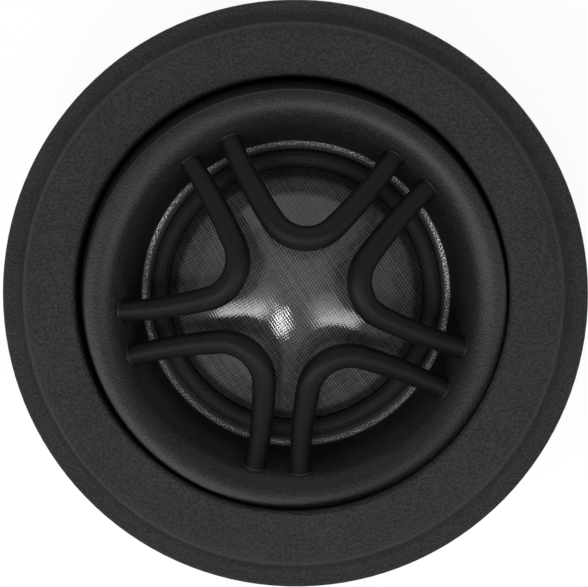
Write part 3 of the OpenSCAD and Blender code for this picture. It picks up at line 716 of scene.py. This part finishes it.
# Dark and light colour, roughness, grain and relief in mm, then gloss and IOR.
# The ring has the deepest grit, which gives its face a dull sandy look. The cap
# and shell are plainer, and nylon has a faint sheen
ring_abs = moulded("black_abs_eroded", "0b0b0c", "323234", 0.55, 0.24, 0.2, 0.4)
shell_abs = moulded("black_abs_plain", "2b2b2c", "313132", 0.5, 0.4, 0.008)
nylon = moulded("black_nylon", "38383a", "3e3e40", 0.45, 0.5, 0.006)
# Rubber and foam are dull black, and felt is a warm matt grey
rubber = moulded("moulded_rubber", "1c1c1c", "232323", 0.75, 0.3, 0.015, 0.4, 1.52)
foam = moulded("closed_cell_foam", "1f1f1f", "2a2a2a", 0.9, 0.35, 0.05, 0.3, 1.4)
felt = moulded("pressed_wool_felt", "6b6660", "7c776f", 0.95, 0.3, 0.06, 0.2, 1.4)
# Brown board, amber film and red sleeves mark out the electrical pieces
laminate = moulded("phenolic_paper_laminate", "7a4a22", "8a5629", 0.5, 0.6, 0.004)
film = moulded("polyimide_film", "a56a1e", "b47623", 0.3, 0.8, 0.002)
sleeve = moulded("pvc_lead_sleeve", "7a1512", "86201b", 0.4, 0.4, 0.004)
# Colour, roughness and grain in mm: bright zinc, nickel and spring steel, dark
# oxide, yellow brass and red copper
zinc = plated("zinc_plated_steel", "bfc1c4", 0.35, 0.4)
oxide = plated("black_oxide_steel", "2a2a2c", 0.45, 0.4)
spring = plated("rolled_spring_steel", "a3a4a6", 0.4, 0.5)
nickel = plated("nickel_plated_magnet", "cfccc5", 0.25, 0.6)
brass = plated("punched_brass", "c99f4f", 0.35, 0.4)
copper = plated("enamelled_copper_wire", "b8643a", 0.3, 0.1)
finish = {
    "mounting_ring": ring_abs,
    "friction_washer": felt,
    "wave_washer": spring,
    "rear_cap": shell_abs,
    "cap_screws": zinc,
    "cable_grommet": rubber,
    "swivel_ring": nylon,
    "tilt_pins": oxide,
    "rear_shell": shell_abs,
    "shell_screws": zinc,
    "diaphragm_ring": shell_abs,
    "magnet_yoke": zinc,
    "magnet": nickel,
    "top_plate": zinc,
    "damping_pad": felt,
    "terminal_board": laminate,
    "positive_terminal": brass,
    "negative_terminal": brass,
    "terminal_rivets": brass,
    "coil_leads": sleeve,
    "coil_former": film,
    "coil_winding": copper,
}
for node_name, material in finish.items():
    kept = frame["nodes"][node_name]
    if not kept.material_slots:
        kept.data.materials.append(material)
    for place in kept.material_slots:
        place.material = material

# Panel gasket: a strip of closed-cell foam stuck in the groove under the
# flange. Its free edges are rounded where the foam was cut and pressed.
low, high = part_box("panel_gasket")
gasket_out, gasket_w = high[0] / mm, 1.6
gasket_in, soft = gasket_out - gasket_w, 0.25
gasket_low, gasket_high = low[2] / mm, high[2] / mm
gasket_section = (
    [(gasket_out, gasket_high), (gasket_in, gasket_high)]
    + arc((gasket_in + soft, gasket_low + soft), soft, 180, 270, 6)
    + arc((gasket_out - soft, gasket_low + soft), soft, 270, 360, 6)
)
gasket = lathe("foam_gasket", gasket_section, Matrix(), turns=160, smooth=60)
gasket.data.materials.append(foam)
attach(gasket, "mount")
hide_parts("panel_gasket")

# Studio: a white sheet under the part that turns up at its rim, a weak panel
# behind the camera and one above. Two soft boxes with a wider glow beside each
# and a small lamp, all below the picture's middle, give the dome its patches.
floor_gap, sheet_seen, sheet_glow, room_light = 0.02, 0.77, 1.15, 0.23
# The sheet is a hair below the part, so that the two faces don't coincide
floor_z = cad_box[0][2] - floor_gap * mm
sheet_r, sheet_rim, rim_steps = 2.5, 0.25, 64
floor_mesh = bpy.data.meshes.new("floor")
turns = [2 * math.pi * i / rim_steps for i in range(rim_steps)]
sheet_points = [(0, 0, floor_z)]
for rise in (0, sheet_rim):
    sheet_points += [(sheet_r * math.cos(a), sheet_r * math.sin(a), floor_z + rise) for a in turns]
sheet_faces = []
for i in range(rim_steps):
    j = (i + 1) % rim_steps
    sheet_faces.append((0, 1 + i, 1 + j))
    sheet_faces.append((1 + i, 1 + rim_steps + i, 1 + rim_steps + j, 1 + j))
floor_mesh.from_pydata(sheet_points, [], sheet_faces)
floor = bpy.data.objects.new("floor", floor_mesh)
bpy.context.collection.objects.link(floor)
white_sheet, tree, shader = new_material("white_sheet")
shader.inputs["Base Color"].default_value = linear("f2f2f2")
shader.inputs["Roughness"].default_value = 0.9
# Part of what the camera sees of it is its own white, and the rest keeps the shadow
path = add(tree, "ShaderNodeLightPath").outputs
seen = add(tree, "ShaderNodeMath", {0: path["Is Camera Ray"], 1: path["Is Glossy Ray"]}, operation="ADD")
seen = add(tree, "ShaderNodeMath", {0: seen.outputs[0], 1: path["Is Transmission Ray"]}, operation="ADD")
part_seen = add(tree, "ShaderNodeMath", {0: seen.outputs[0], 1: sheet_seen}, operation="MULTIPLY")
glow = add(tree, "ShaderNodeEmission", {"Strength": sheet_glow})
blend = add(tree, "ShaderNodeMixShader", {0: part_seen.outputs[0], 1: shader.outputs[0], 2: glow.outputs[0]})
tree.links.new(blend.outputs[0], tree.nodes["Material Output"].inputs["Surface"])
floor_mesh.materials.append(white_sheet)

world = bpy.data.worlds.new("studio")
bpy.context.scene.world = world
world.use_nodes = True
room = world.node_tree.nodes["Background"]
room.inputs["Color"].default_value = (1, 1, 1, 1)
room.inputs["Strength"].default_value = room_light


def lamp(name, azimuth, off_axis, width, height, power, distance=0.5):
    # A soft box that faces the part, placed by its angle round and off the axis
    made = bpy.data.objects.new(name, bpy.data.lights.new(name, "AREA"))
    bpy.context.collection.objects.link(made)
    made.data.shape = "RECTANGLE"
    made.data.size, made.data.size_y = width, height
    made.data.energy = power
    a, e = math.radians(azimuth), math.radians(off_axis)
    way = Vector((math.sin(e) * math.cos(a), math.sin(e) * math.sin(a), math.cos(e)))
    made.location = way * distance
    made.rotation_euler = facing(way)


# Angle round and off the axis in degrees, width, height, power in watts, distance
lamp("front_panel", 90, 6, 0.6, 0.6, 0.14, 0.62)
lamp("top_panel", 90, 60, 0.8, 0.4, 0.4)
lamp("soft_box_left", 213, 42, 0.34, 0.08, 0.45)
lamp("glow_left", 208, 34, 0.34, 0.12, 0.1)
lamp("soft_box_right", 319, 45, 0.26, 0.085, 0.28)
lamp("glow_right", 324, 37, 0.28, 0.16, 0.18)
lamp("small_lamp", 257, 30, 0.036, 0.15, 0.38)
